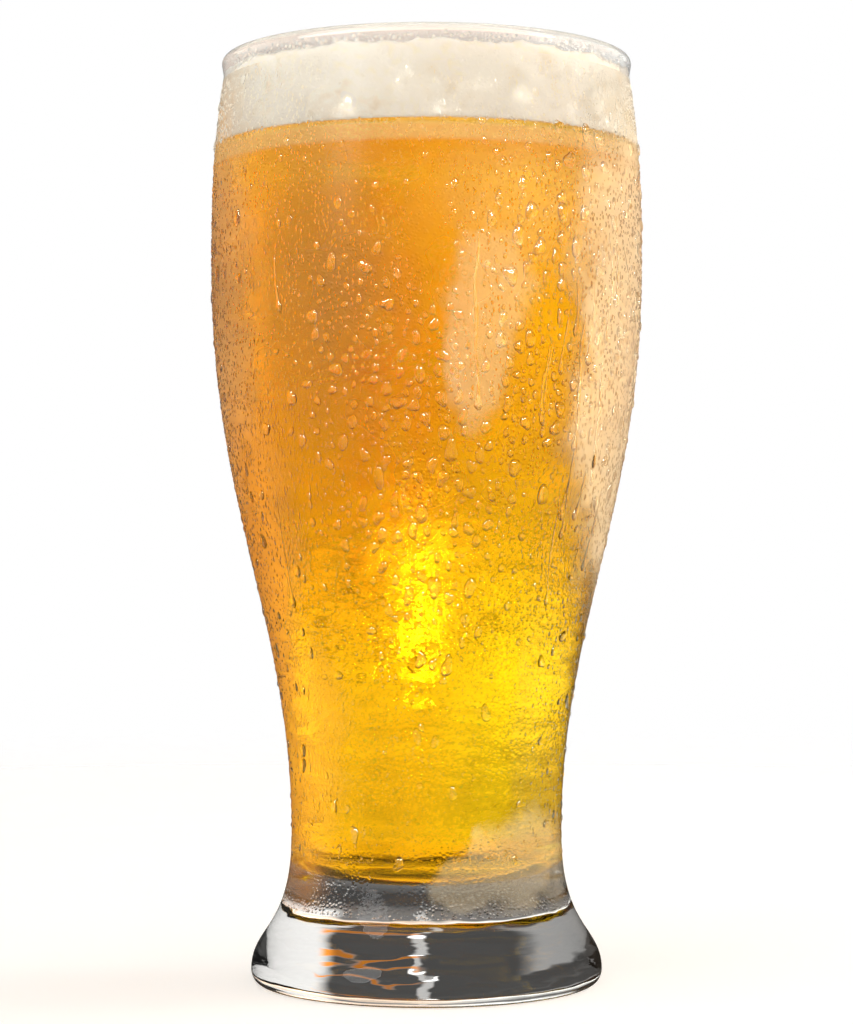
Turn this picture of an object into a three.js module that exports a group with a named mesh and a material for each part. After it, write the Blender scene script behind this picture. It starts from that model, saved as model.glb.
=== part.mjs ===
// A pint of beer: a footed pub glass, the lager in it and the head of foam on top.
// Millimetres, +Z up. The origin is the centre of the foot, on the surface it stands on.
import * as THREE from "three";

// Glass, outside
const GLASS_HEIGHT = 180;
const MOUTH_RADIUS = 39.7; // just under the rim bead
const BELLY_RADIUS = 42.05;
const BELLY_HEIGHT = 140;
const WAIST_RADIUS = 26.35;
const WAIST_HEIGHT = 29;
const FOOT_RADIUS = 34.2;
const FOOT_EDGE_HEIGHT = 2.6; // widest ring of the foot
const BASE_RADIUS = 32; // outer edge of the ring it stands on
const RECESS_RADIUS = 25; // shallow hollow under the foot
const RECESS_DEPTH = 0.9;
const NECK_BELOW_LIP = 1; // where the wall starts to roll out into the lip

// Glass, wall and inside
const RIM_BEAD = 1.25; // radius of the rounded lip
const RIM_STANDS_OUT = 0.35; // lip beyond the mouth radius
const BELLY_WALL = 2.5;
const WAIST_WALL = 3.1;
const BOWL_FLOOR = 19.6; // height of the inside floor on the axis
const BOWL_FLOOR_RADIUS = 12; // nearly flat middle of the floor
const BOWL_FLOOR_DISH = 0.4; // how far that middle sinks
const BOWL_CORNER_HEIGHT = 11; // how high the floor's corner curves up

// How far the outline's curves run straight on from each end before they bend
const FLARE_PULL = { foot: 7.9, waist: 18.9 };
const BODY_PULL = { waist: 41.3, belly: 48.5 };
const SHOULDER_PULL = { belly: 19, mouth: 9.5, lean: 1.35 };
const FOOT_CORNER_PULL = { base: 1.3, edge: 1.4 };
const RECESS_PULL = { middle: 0.5, edge: 0.85, drop: 0.6 }; // shares of its radius and depth
const BOWL_PULL = { corner: 39.5, belly: 48.5 };
const BOWL_SHOULDER_PULL = { mouth: 10, lean: 1.2 };
const BOWL_CORNER_PULL = { wall: 6.6, floor: 6.4 };

// Drink
const BEER_LEVEL = 162.5;
const FOAM_TOP = 174.6; // mean height of the foam's upper face
const FOAM_LUMP = 0.45; // how far its lumps rise and sink
const FOAM_CLIMB = 0.4; // how far the foam climbs where it meets the wall
const FOAM_CLIMB_POWER = 6; // keeps that climb close to the wall
const FOAM_WAVES = [
  { heading: 0.4, length: 31, shift: 0.6 },
  { heading: 1.7, length: 23, shift: 2.1 },
  { heading: 2.6, length: 17, shift: 4.4 },
];
const GAP = 0.3; // clearance between neighbouring pieces

// Facets
const TURN_STEPS = 60;
const WALL_STEPS = 13;
const SHOULDER_STEPS = 6;
const CORNER_STEPS = 4;
const LIP_STEPS = 6;
const FOAM_RINGS = 9;
const SAME_POINT = 1e-6;

// Outline helpers. An outline is a list of points, x away from the axis and y up.
const point = (radius, height) => new THREE.Vector2(radius, height);

function curve(start, startHandle, endHandle, end, steps) {
  return new THREE.CubicBezierCurve(start, startHandle, endHandle, end).getPoints(steps);
}

// An S-shaped stretch of wall that is upright at both ends.
function swell(low, lowPull, high, highPull, steps) {
  const lowHandle = point(low.x, low.y + lowPull);
  const highHandle = point(high.x, high.y - highPull);
  return curve(low, lowHandle, highHandle, high, steps);
}

function chain(...stretches) {
  const joined = [];
  for (const stretch of stretches) {
    for (const next of stretch) {
      const last = joined.at(-1);
      if (!last || last.distanceTo(next) > SAME_POINT) joined.push(next);
    }
  }
  return joined;
}

// Turns an outline that starts and ends on the axis into a solid that stands on +Z.
function turned(outline) {
  return new THREE.LatheGeometry(outline, TURN_STEPS).rotateX(Math.PI / 2);
}

// The outside of the glass, from the axis under the foot up to the lip.
function outsideOutline() {
  const base = point(BASE_RADIUS, 0);
  const footEdge = point(FOOT_RADIUS, FOOT_EDGE_HEIGHT);
  const waist = point(WAIST_RADIUS, WAIST_HEIGHT);
  const belly = point(BELLY_RADIUS, BELLY_HEIGHT);
  const mouth = point(MOUTH_RADIUS, GLASS_HEIGHT - 2 * RIM_BEAD - NECK_BELOW_LIP);
  const recess = curve(
    point(0, RECESS_DEPTH),
    point(RECESS_RADIUS * RECESS_PULL.middle, RECESS_DEPTH),
    point(RECESS_RADIUS * RECESS_PULL.edge, RECESS_DEPTH * RECESS_PULL.drop),
    point(RECESS_RADIUS, 0),
    CORNER_STEPS,
  );
  const footCorner = curve(
    base,
    point(BASE_RADIUS + FOOT_CORNER_PULL.base, 0),
    point(FOOT_RADIUS, FOOT_EDGE_HEIGHT - FOOT_CORNER_PULL.edge),
    footEdge,
    CORNER_STEPS,
  );
  const flare = swell(footEdge, FLARE_PULL.foot, waist, FLARE_PULL.waist, WALL_STEPS);
  const body = swell(waist, BODY_PULL.waist, belly, BODY_PULL.belly, WALL_STEPS);
  const shoulder = curve(
    belly,
    point(BELLY_RADIUS, BELLY_HEIGHT + SHOULDER_PULL.belly),
    point(MOUTH_RADIUS + SHOULDER_PULL.lean, mouth.y - SHOULDER_PULL.mouth),
    mouth,
    SHOULDER_STEPS,
  );
  return chain(recess, footCorner, flare, body, shoulder);
}

// The rounded lip, from its outer side over the top to the inner wall.
function lipOutline() {
  const centre = point(MOUTH_RADIUS + RIM_STANDS_OUT - RIM_BEAD, GLASS_HEIGHT - RIM_BEAD);
  const lip = [];
  for (let step = 0; step <= LIP_STEPS; step += 1) {
    const angle = (Math.PI * step) / LIP_STEPS;
    const offset = point(RIM_BEAD * Math.cos(angle), RIM_BEAD * Math.sin(angle));
    lip.push(centre.clone().add(offset));
  }
  return lip;
}

// The inside of the bowl, drawn in by an even clearance, from the lip down to the axis.
function insideOutline(clearance) {
  const mouth = point(
    MOUTH_RADIUS + RIM_STANDS_OUT - 2 * RIM_BEAD - clearance,
    GLASS_HEIGHT - RIM_BEAD,
  );
  const belly = point(BELLY_RADIUS - BELLY_WALL - clearance, BELLY_HEIGHT);
  const corner = point(
    WAIST_RADIUS - WAIST_WALL - clearance,
    BOWL_FLOOR + BOWL_CORNER_HEIGHT,
  );
  const floorEdge = point(BOWL_FLOOR_RADIUS, BOWL_FLOOR + BOWL_FLOOR_DISH + clearance);
  const shoulder = curve(
    mouth,
    point(mouth.x + BOWL_SHOULDER_PULL.lean, mouth.y - BOWL_SHOULDER_PULL.mouth),
    point(belly.x, BELLY_HEIGHT + SHOULDER_PULL.belly),
    belly,
    SHOULDER_STEPS,
  );
  const body = swell(corner, BOWL_PULL.corner, belly, BOWL_PULL.belly, WALL_STEPS).reverse();
  const bowlCorner = curve(
    corner,
    point(corner.x, corner.y - BOWL_CORNER_PULL.wall),
    point(floorEdge.x + BOWL_CORNER_PULL.floor, floorEdge.y),
    floorEdge,
    SHOULDER_STEPS,
  );
  const axis = point(0, BOWL_FLOOR + clearance);
  return chain(shoulder, body, bowlCorner, [axis]);
}

// Radius of an outline that runs downwards, at one height.
function radiusAt(outline, height) {
  const below = outline.findIndex((p) => p.y <= height);
  const [upper, lower] = [outline[below - 1], outline[below]];
  const share = (upper.y - height) / (upper.y - lower.y);
  return THREE.MathUtils.lerp(upper.x, lower.x, share);
}

function glassGeometry() {
  return turned(chain(outsideOutline(), lipOutline(), insideOutline(0)));
}

// The beer fills the bowl from its floor to a level face.
function beerGeometry() {
  const wall = insideOutline(GAP);
  const edge = point(radiusAt(wall, BEER_LEVEL), BEER_LEVEL);
  const submerged = wall.filter((p) => p.y < BEER_LEVEL);
  return turned([point(0, BEER_LEVEL), edge, ...submerged].reverse());
}

// Low rolling lumps on the foam, each a wave along its own direction.
function foamLump(x, y) {
  let sum = 0;
  for (const wave of FOAM_WAVES) {
    const along = x * Math.cos(wave.heading) + y * Math.sin(wave.heading);
    sum += Math.sin((2 * Math.PI * along) / wave.length + wave.shift);
  }
  return (FOAM_LUMP * sum) / FOAM_WAVES.length;
}

// The head of foam, flat against the wall, with a lumpy top that climbs a little at the wall.
function foamGeometry() {
  const wall = insideOutline(GAP);
  const bottom = BEER_LEVEL + GAP;
  const rimHeight = FOAM_TOP + FOAM_CLIMB;
  const middle = (bottom + rimHeight) / 2;
  const outline = [
    point(0, bottom),
    point(radiusAt(wall, bottom), bottom),
    point(radiusAt(wall, middle), middle),
  ];
  const topRadius = radiusAt(wall, rimHeight);
  for (let ring = FOAM_RINGS; ring >= 0; ring -= 1) {
    const share = ring / FOAM_RINGS;
    outline.push(point(topRadius * share, FOAM_TOP + FOAM_CLIMB * share ** FOAM_CLIMB_POWER));
  }
  const geometry = turned(outline);
  const places = geometry.getAttribute("position");
  for (let i = 0; i < places.count; i += 1) {
    const height = places.getZ(i);
    if (height > middle + GAP) {
      places.setZ(i, height + foamLump(places.getX(i), places.getY(i)));
    }
  }
  return geometry;
}

// Finishes
const clearGlass = new THREE.MeshStandardMaterial({
  color: 0xeef3f1,
  roughness: 0.03,
  metalness: 0,
  transparent: true,
  opacity: 0.35,
});
const amberBeer = new THREE.MeshStandardMaterial({
  color: 0xe79a12,
  roughness: 0.05,
  metalness: 0,
});
const creamFoam = new THREE.MeshStandardMaterial({
  color: 0xf4ecdb,
  roughness: 0.9,
  metalness: 0,
});

function piece(name, geometry, material) {
  const mesh = new THREE.Mesh(geometry, material);
  mesh.name = name;
  return mesh;
}

const pint = new THREE.Group();
pint.name = "pint_of_beer";
pint.add(piece("glass", glassGeometry(), clearGlass));
pint.add(piece("beer", beerGeometry(), amberBeer));
pint.add(piece("foam", foamGeometry(), creamFoam));

export default pint;
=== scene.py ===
"""A pint of beer in a footed glass, wet with condensation, on a pale studio floor."""

import math

import bpy
import numpy as np
from bpy.props import FloatProperty, FloatVectorProperty, IntProperty, PointerProperty
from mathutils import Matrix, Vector


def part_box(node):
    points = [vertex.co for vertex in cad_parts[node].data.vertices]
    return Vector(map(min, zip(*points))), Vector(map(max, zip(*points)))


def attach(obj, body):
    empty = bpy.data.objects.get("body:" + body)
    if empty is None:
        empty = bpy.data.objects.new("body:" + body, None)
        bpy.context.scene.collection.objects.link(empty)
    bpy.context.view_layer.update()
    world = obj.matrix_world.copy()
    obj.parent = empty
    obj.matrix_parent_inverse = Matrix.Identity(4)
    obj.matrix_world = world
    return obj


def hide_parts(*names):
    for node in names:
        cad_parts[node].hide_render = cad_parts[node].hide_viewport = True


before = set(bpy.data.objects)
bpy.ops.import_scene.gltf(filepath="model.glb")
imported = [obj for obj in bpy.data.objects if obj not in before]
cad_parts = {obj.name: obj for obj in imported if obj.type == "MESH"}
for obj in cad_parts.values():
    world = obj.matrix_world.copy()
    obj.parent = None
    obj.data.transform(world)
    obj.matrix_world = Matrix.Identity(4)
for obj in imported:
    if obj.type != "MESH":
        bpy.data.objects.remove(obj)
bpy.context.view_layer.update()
GLASS_LOW, GLASS_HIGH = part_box("glass")
BEER_LOW, BEER_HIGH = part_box("beer")

bl_info = {
    "name": "Pint of beer",
    "version": (1, 0, 0),
    "blender": (4, 5, 0),
    "location": "3D View > Sidebar > Pint",
    "description": "Builds a footed glass of beer with foam, bubbles and condensation",
    "category": "Object",
}

MM = 0.001
GLASS_IOR, BEER_IOR, WATER_IOR = 1.5, 1.34, 1.33
GLASS_SHADOW = (0.96, 0.97, 0.97, 1.0)
BODY = "root"
TURNS = 256
FULL_TURN = 2 * math.pi
SEED = 20


# Settings


def length(name, default, description):
    return FloatProperty(
        name=name, default=default, min=0.0, unit="LENGTH", precision=5, description=description
    )


def colour(name, default, description):
    return FloatVectorProperty(
        name=name, default=default, size=4, min=0.0, max=1.0, subtype="COLOR", description=description
    )


def how_many(name, default, description):
    return IntProperty(name=name, default=default, min=0, description=description)


class PintGlassSettings(bpy.types.PropertyGroup):
    """Outline of the glass."""

    height: length("Height", GLASS_HIGH[2], "Height of the lip above the floor")
    belly_radius: length("Belly radius", GLASS_HIGH[0], "Widest radius of the bowl")
    belly_height: length("Belly height", 140 * MM, "Height of the widest ring of the bowl")
    mouth_radius: length("Mouth radius", 39.7 * MM, "Outer radius just under the lip")
    waist_radius: length("Waist radius", 26.35 * MM, "Outer radius at the waist")
    waist_height: length("Waist height", 29 * MM, "Height of the waist")
    foot_radius: length("Foot radius", 34.2 * MM, "Widest radius of the foot")
    foot_edge_height: length("Foot edge height", 2.6 * MM, "Height of the foot's widest ring")
    base_radius: length("Base radius", 32 * MM, "Outer radius of the ring the glass stands on")
    recess_radius: length("Recess radius", 25 * MM, "Radius of the hollow under the foot")
    recess_depth: length("Recess depth", 0.9 * MM, "Depth of the hollow under the foot")
    bead: length("Lip bead", 1.25 * MM, "Radius of the rounded lip")
    bead_out: length("Lip overhang", 0.35 * MM, "How far the lip stands out")
    belly_wall: length("Belly wall", 2.5 * MM, "Wall thickness at the belly")
    waist_wall: length("Waist wall", 3.1 * MM, "Wall thickness at the waist")
    bowl_floor: length("Bowl floor", 19.6 * MM, "Height of the inside floor")
    bowl_floor_radius: length("Bowl floor radius", 12 * MM, "Nearly flat middle of the floor")
    bowl_corner: length("Bowl corner", 11 * MM, "How high the floor's corner curves up")


class PintDrinkSettings(bpy.types.PropertyGroup):
    """Beer and foam."""

    beer_level: length("Beer level", BEER_HIGH[2], "Height of the line between beer and foam")
    foam_top: length("Foam top", 174.6 * MM, "Mean height of the foam's upper face")
    foam_climb: length("Foam climb", 2.3 * MM, "How far the foam clings up the wall")
    into_wall: length("Into the wall", 0.15 * MM, "How far drink reaches into the wall, so no air shows")
    beer_colour: colour(
        "Beer colour", (0.93, 0.41, 0.002, 1.0), "Light that the beer lets through where it is wide"
    )
    beer_pale: colour(
        "Pale beer", (0.96, 0.61, 0.003, 1.0), "Light that the beer lets through where it is narrow"
    )
    beer_amber: colour(
        "Amber beer", (0.97, 0.34, 0.001, 1.0), "Light that the beer lets through in the middle column"
    )
    beer_collar: colour(
        "Beer collar", (0.97, 0.78, 0.30, 1.0), "Light that the frothy top of the beer lets through"
    )
    collar_depth: length("Collar depth", 3.8 * MM, "Depth of the frothy top of the beer")
    foam_colour: colour("Foam colour", (0.95, 0.92, 0.83, 1.0), "Colour of the froth")
    foam_shade: colour("Foam shade", (0.80, 0.68, 0.50, 1.0), "Colour of wet spots in the froth")
    # The foam glow is painted light, which the underside of the foam gives off as emission.
    foam_painted_glow: colour(
        "Foam glow", (1.0, 0.64, 0.34, 1.0), "Light that soaks through to the underside of the froth"
    )
    lace_count: how_many("Lace", 1200, "Bubbles left on the wall over the foam")
    crown_count: how_many("Crown", 1200, "Bubbles on top of the foam")
    collar_count: how_many("Collar", 3400, "Fine bubbles in the beer under the foam")
    rising_count: how_many("Rising bubbles", 420, "Bubbles in the beer")


class PintWaterSettings(bpy.types.PropertyGroup):
    """Condensation on the outside of the glass."""

    fine_count: how_many("Fine drops", 20000, "Drops under a millimetre")
    middle_count: how_many("Middle drops", 3000, "Drops of one to two millimetres")
    large_count: how_many("Large drops", 420, "Drops over two millimetres")
    run_count: how_many("Runs", 26, "Trails of water down the glass")
    # The four mist colours are painted light, shade and glow on one and the same mist: lit, in shade, glowing
    # along the left edge and glowing low on the left edge.
    mist_painted_light: colour("Mist colour", (0.97, 0.85, 0.58, 1.0), "Colour of the finest droplets in the light")
    mist_painted_edge_glow: colour(
        "Mist glow", (1.0, 0.56, 0.19, 1.0), "Colour of the finest droplets along the left edge"
    )
    mist_painted_shade: colour("Mist shade", (0.11, 0.08, 0.04, 1.0), "Colour of the finest droplets in the shade")
    mist_painted_low_glow: colour(
        "Mist ember", (1.0, 0.36, 0.015, 1.0), "Colour of the finest droplets low on the left edge"
    )


class PintStageSettings(bpy.types.PropertyGroup):
    """Camera, floor and light."""

    camera_distance: length("Camera distance", 0.52, "From the camera to the axis of the glass")
    camera_height: length("Camera height", 0.084, "Height of the camera above the floor")
    camera_tilt: FloatProperty(
        name="Camera tilt", default=math.radians(0.82), subtype="ANGLE", description="Upward tilt"
    )
    lens: FloatProperty(name="Lens", default=93.3, min=1.0, description="Focal length in millimetres")
    floor_colour: colour("Floor colour", (0.90, 0.895, 0.885, 1.0), "Colour of the floor")
    backdrop_colour: colour("Backdrop colour", (1.0, 1.0, 1.0, 1.0), "Colour behind the glass")


# Outlines. Each is a list of (radius, height) points in metres.


def curve(start, start_handle, end_handle, end, steps):
    t = np.linspace(0.0, 1.0, steps + 1)[:, None]
    start, start_handle, end_handle, end = map(np.array, (start, start_handle, end_handle, end))
    points = (
        (1 - t) ** 3 * start
        + 3 * (1 - t) ** 2 * t * start_handle
        + 3 * (1 - t) * t**2 * end_handle
        + t**3 * end
    )
    return [tuple(p) for p in points]


def swell(low, low_pull, high, high_pull, steps):
    """An S-shaped stretch of wall that is upright at both ends."""
    return curve(low, (low[0], low[1] + low_pull), (high[0], high[1] - high_pull), high, steps)


def chain(*stretches):
    joined = []
    for stretch in stretches:
        for point in stretch:
            if not joined or math.dist(joined[-1], point) > 1e-7:
                joined.append(point)
    return joined


def wall_outline():
    """The outside of the glass from the foot's edge up to the lip."""
    g = bpy.context.scene.pint_glass
    foot = (g.foot_radius, g.foot_edge_height)
    waist = (g.waist_radius, g.waist_height)
    belly = (g.belly_radius, g.belly_height)
    mouth = (g.mouth_radius, g.height - 2 * g.bead - 1 * MM)
    shoulder = curve(
        belly,
        (g.belly_radius, g.belly_height + 19 * MM),
        (g.mouth_radius + 1.35 * MM, mouth[1] - 9.5 * MM),
        mouth,
        22,
    )
    return chain(
        swell(foot, 7.9 * MM, waist, 18.9 * MM, 30),
        swell(waist, 41.3 * MM, belly, 48.5 * MM, 56),
        shoulder,
    )


def base_outline():
    """The underside, from the axis out to the foot's edge."""
    g = bpy.context.scene.pint_glass
    recess = curve(
        (0.0, g.recess_depth),
        (g.recess_radius * 0.5, g.recess_depth),
        (g.recess_radius * 0.85, g.recess_depth * 0.6),
        (g.recess_radius, 0.0),
        8,
    )
    corner = curve(
        (g.base_radius, 0.0),
        (g.base_radius + 1.3 * MM, 0.0),
        (g.foot_radius, g.foot_edge_height - 1.4 * MM),
        (g.foot_radius, g.foot_edge_height),
        8,
    )
    return chain(recess, corner)


def lip_outline():
    g = bpy.context.scene.pint_glass
    middle = (g.mouth_radius + g.bead_out - g.bead, g.height - g.bead)
    angles = np.linspace(0.0, math.pi, 15)
    return [(middle[0] + g.bead * math.cos(a), middle[1] + g.bead * math.sin(a)) for a in angles]


def bowl_outline(clearance=0.0):
    """The inside of the bowl from the lip down to the axis, drawn in by an even clearance."""
    g = bpy.context.scene.pint_glass
    mouth = (g.mouth_radius + g.bead_out - 2 * g.bead - clearance, g.height - g.bead)
    belly = (g.belly_radius - g.belly_wall - clearance, g.belly_height)
    corner = (g.waist_radius - g.waist_wall - clearance, g.bowl_floor + g.bowl_corner)
    floor_edge = (g.bowl_floor_radius, g.bowl_floor + 0.4 * MM + clearance)
    shoulder = curve(
        mouth,
        (mouth[0] + 1.2 * MM, mouth[1] - 10 * MM),
        (belly[0], g.belly_height + 19 * MM),
        belly,
        20,
    )
    body = swell(corner, 39.5 * MM, belly, 48.5 * MM, 50)[::-1]
    bend = curve(
        corner,
        (corner[0], corner[1] - 6.6 * MM),
        (floor_edge[0] + 6.4 * MM, floor_edge[1]),
        floor_edge,
        18,
    )
    level = g.bowl_floor + clearance
    return chain(shoulder, body, bend, [(6 * MM, g.bowl_floor + 0.1 * MM + clearance), (0.0, level)])


def radius_at(outline, height):
    points = np.array(sorted(outline, key=lambda p: p[1]))
    return np.interp(height, points[:, 1], points[:, 0])


# Modelling


def start_piece(name):
    """Adds a plane as the start of a piece, with nothing else selected."""
    if bpy.context.object and bpy.context.object.mode != "OBJECT":
        bpy.ops.object.mode_set(mode="OBJECT")
    bpy.ops.object.select_all(action="DESELECT")
    bpy.ops.mesh.primitive_plane_add(size=10 * MM)
    piece = bpy.context.object
    piece.name = name
    piece.data.name = name
    return piece


def turn_piece(name, outline, turns=TURNS):
    """Draws an outline point by point and spins it round the axis."""
    piece = start_piece(name)
    bpy.ops.object.mode_set(mode="EDIT")
    bpy.ops.mesh.merge(type="CENTER")
    radius, height = outline[0]
    bpy.ops.transform.translate(value=(radius, 0.0, height))
    for (r0, z0), (r1, z1) in zip(outline, outline[1:]):
        bpy.ops.mesh.extrude_region_move(TRANSFORM_OT_translate={"value": (r1 - r0, 0.0, z1 - z0)})
    bpy.ops.mesh.select_all(action="SELECT")
    bpy.ops.mesh.spin(steps=turns, angle=FULL_TURN, center=(0, 0, 0), axis=(0, 0, 1))
    bpy.ops.mesh.select_all(action="SELECT")
    bpy.ops.mesh.remove_doubles(threshold=1e-6)
    bpy.ops.mesh.normals_make_consistent(inside=False)
    bpy.ops.object.mode_set(mode="OBJECT")
    bpy.ops.object.shade_smooth()
    return piece


def dress(piece, slot, *materials):
    """Gives a piece its materials and its body. The slot is not used."""
    for material in materials:
        piece.data.materials.append(material)
    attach(piece, BODY)
    return piece


def scatter_piece(name, points, faces, flat=None):
    """One mesh from arrays of points and faces. Faces marked flat keep their own normals."""
    mesh = bpy.data.meshes.new(name)
    mesh.from_pydata(points, [], faces)
    smooth = np.ones(len(mesh.polygons), dtype=bool)
    if flat is not None:
        smooth[flat] = False
    mesh.polygons.foreach_set("use_smooth", smooth)
    mesh.update()
    piece = bpy.data.objects.new(name, mesh)
    bpy.context.collection.objects.link(piece)
    return piece


# Materials


def new_material(name):
    material = bpy.data.materials.new(name)
    material.use_nodes = True
    tree = material.node_tree
    tree.nodes.clear()
    return material, tree


def feed(tree, socket, value):
    """Links a socket to another, or sets its value."""
    if isinstance(value, bpy.types.NodeSocket):
        tree.links.new(value, socket)
    else:
        socket.default_value = value


def add_node(tree, kind, settings=None, **inputs):
    """Adds a node. Inputs are named with spaces as underscores, and are values or sockets."""
    made = tree.nodes.new(kind)
    for key, value in (settings or {}).items():
        setattr(made, key, value)
    for key, value in inputs.items():
        feed(tree, made.inputs[key.replace("_", " ")], value)
    return made


def object_place(tree):
    return add_node(tree, "ShaderNodeTexCoord").outputs["Object"]


def noise(tree, place, scale, detail, roughness=0.5, distortion=0.0):
    return add_node(
        tree,
        "ShaderNodeTexNoise",
        Vector=place,
        Scale=scale,
        Detail=detail,
        Roughness=roughness,
        Distortion=distortion,
    )


def math_node(tree, operation, *values, clamp=False):
    made = tree.nodes.new("ShaderNodeMath")
    made.operation = operation
    made.use_clamp = clamp
    for socket, value in zip(made.inputs, values):
        feed(tree, socket, value)
    return made.outputs[0]


def times(tree, first, second):
    return math_node(tree, "MULTIPLY", first, second)


def plus(tree, first, second):
    return math_node(tree, "ADD", first, second)


def remap(tree, value, low, high, to_low=0.0, to_high=1.0):
    made = add_node(
        tree,
        "ShaderNodeMapRange",
        {"interpolation_type": "SMOOTHSTEP"},
        Value=value,
        From_Min=low,
        From_Max=high,
        To_Min=to_low,
        To_Max=to_high,
    )
    return made.outputs["Result"]


def blend_colours(tree, factor, first, second):
    made = tree.nodes.new("ShaderNodeMix")
    made.data_type = "RGBA"
    for socket, value in ((made.inputs[0], factor), (made.inputs[6], first), (made.inputs[7], second)):
        feed(tree, socket, value)
    return made.outputs[2]


def blend_values(tree, factor, first, second):
    made = tree.nodes.new("ShaderNodeMix")
    made.data_type = "FLOAT"
    for socket, value in zip((made.inputs[0], made.inputs[2], made.inputs[3]), (factor, first, second)):
        feed(tree, socket, value)
    return made.outputs[0]


def fade(tree, mask, share):
    """1 where the mask is 0, less a share where it is 1."""
    return math_node(tree, "MULTIPLY_ADD", mask, -share, 1.0)


def band(tree, angle, first, last, soft):
    """A mask that is 1 between two angles in degrees, with soft edges."""
    first, last, soft = (math.radians(a) for a in (first, last, soft))
    rise = remap(tree, angle, first - soft, first + soft)
    return times(tree, rise, remap(tree, angle, last - soft, last + soft, 1.0, 0.0))


def close_plain(tree, surface):
    output = tree.nodes.new("ShaderNodeOutputMaterial")
    tree.links.new(surface.outputs[0], output.inputs["Surface"])


def close_clear(tree, surface, tint):
    """Ends a clear material. Shadow rays pass straight through it, tinted."""
    path = add_node(tree, "ShaderNodeLightPath")
    through = add_node(tree, "ShaderNodeBsdfTransparent", Color=tint)
    mix = tree.nodes.new("ShaderNodeMixShader")
    tree.links.new(path.outputs["Is Shadow Ray"], mix.inputs[0])
    tree.links.new(surface.outputs[0], mix.inputs[1])
    tree.links.new(through.outputs[0], mix.inputs[2])
    close_plain(tree, mix)


def bead_grain_group():
    """Tiny domes of water and the patches they gather in."""
    found = bpy.data.node_groups.get("Bead grain")
    if found:
        return found
    group = bpy.data.node_groups.new("Bead grain", "ShaderNodeTree")
    for name, default in (("Bead size", 0.5 * MM), ("Patch size", 18 * MM)):
        socket = group.interface.new_socket(name, in_out="INPUT", socket_type="NodeSocketFloat")
        socket.default_value = default
    for name in ("Height", "Patch"):
        group.interface.new_socket(name, in_out="OUTPUT", socket_type="NodeSocketFloat")
    source = group.nodes.new("NodeGroupInput")
    result = group.nodes.new("NodeGroupOutput")
    place = object_place(group)
    per_metre = math_node(group, "DIVIDE", 1.0, source.outputs["Bead size"])
    cells = add_node(group, "ShaderNodeTexVoronoi", Vector=place, Scale=per_metre, Randomness=1.0)
    dome = remap(group, cells.outputs["Distance"], 0.0, 0.55, 1.0, 0.0)
    patch_scale = math_node(group, "DIVIDE", 1.0, source.outputs["Patch size"])
    patches = noise(group, place, patch_scale, 2.0, 0.6)
    patch = remap(group, patches.outputs[0], 0.38, 0.64)
    height = times(group, dome, patch)
    group.links.new(height, result.inputs["Height"])
    group.links.new(patch, result.inputs["Patch"])
    return group


def bead_grain(tree, bead, patch):
    made = tree.nodes.new("ShaderNodeGroup")
    made.node_tree = bead_grain_group()
    made.inputs["Bead size"].default_value = bead
    made.inputs["Patch size"].default_value = patch
    return made


def soft_patch(tree, place, centre, size, edge):
    """A mask that is 1 inside an oval seen from the front, with a soft edge."""
    moved = add_node(tree, "ShaderNodeVectorMath", {"operation": "SUBTRACT"}, Vector=place)
    moved.inputs[1].default_value = (centre[0], 0.0, centre[1])
    scaled = add_node(tree, "ShaderNodeVectorMath", {"operation": "MULTIPLY"}, Vector=moved.outputs[0])
    scaled.inputs[1].default_value = (1 / size[0], 0.0, 1 / size[1])
    length_out = add_node(tree, "ShaderNodeVectorMath", {"operation": "LENGTH"}, Vector=scaled.outputs[0])
    return remap(tree, length_out.outputs["Value"], 1.0 - edge, 1.0 + edge, 1.0, 0.0)


def glass_shader(tree, **changes):
    settings = {
        "Base_Color": (0.985, 0.992, 0.99, 1.0),
        "Roughness": 0.0,
        "IOR": GLASS_IOR,
        "Transmission_Weight": 1.0,
    }
    return add_node(tree, "ShaderNodeBsdfPrincipled", **{**settings, **changes})


def clear_glass():
    """Pressed glass with faint waves, flatter than they are wide."""
    material, tree = new_material("clear_glass")
    place = object_place(tree)
    squashed = add_node(tree, "ShaderNodeMapping", Vector=place, Scale=(1.0, 1.0, 4.0))
    waves = noise(tree, squashed.outputs[0], 60.0, 2.0, 0.45)
    ripple = add_node(tree, "ShaderNodeBump", Strength=0.5, Distance=0.5 * MM, Height=waves.outputs[0])
    close_clear(tree, glass_shader(tree, Normal=ripple.outputs[0]), GLASS_SHADOW)
    return material


def lip_glass():
    """The thin lip, which lets most of the light straight through."""
    material, tree = new_material("lip_glass")
    place = object_place(tree)
    waves = noise(tree, place, 90.0, 1.0)
    ripple = add_node(tree, "ShaderNodeBump", Strength=0.3, Distance=0.3 * MM, Height=waves.outputs[0])
    close_clear(tree, glass_shader(tree, Alpha=0.55, Normal=ripple.outputs[0]), GLASS_SHADOW)
    return material


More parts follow.
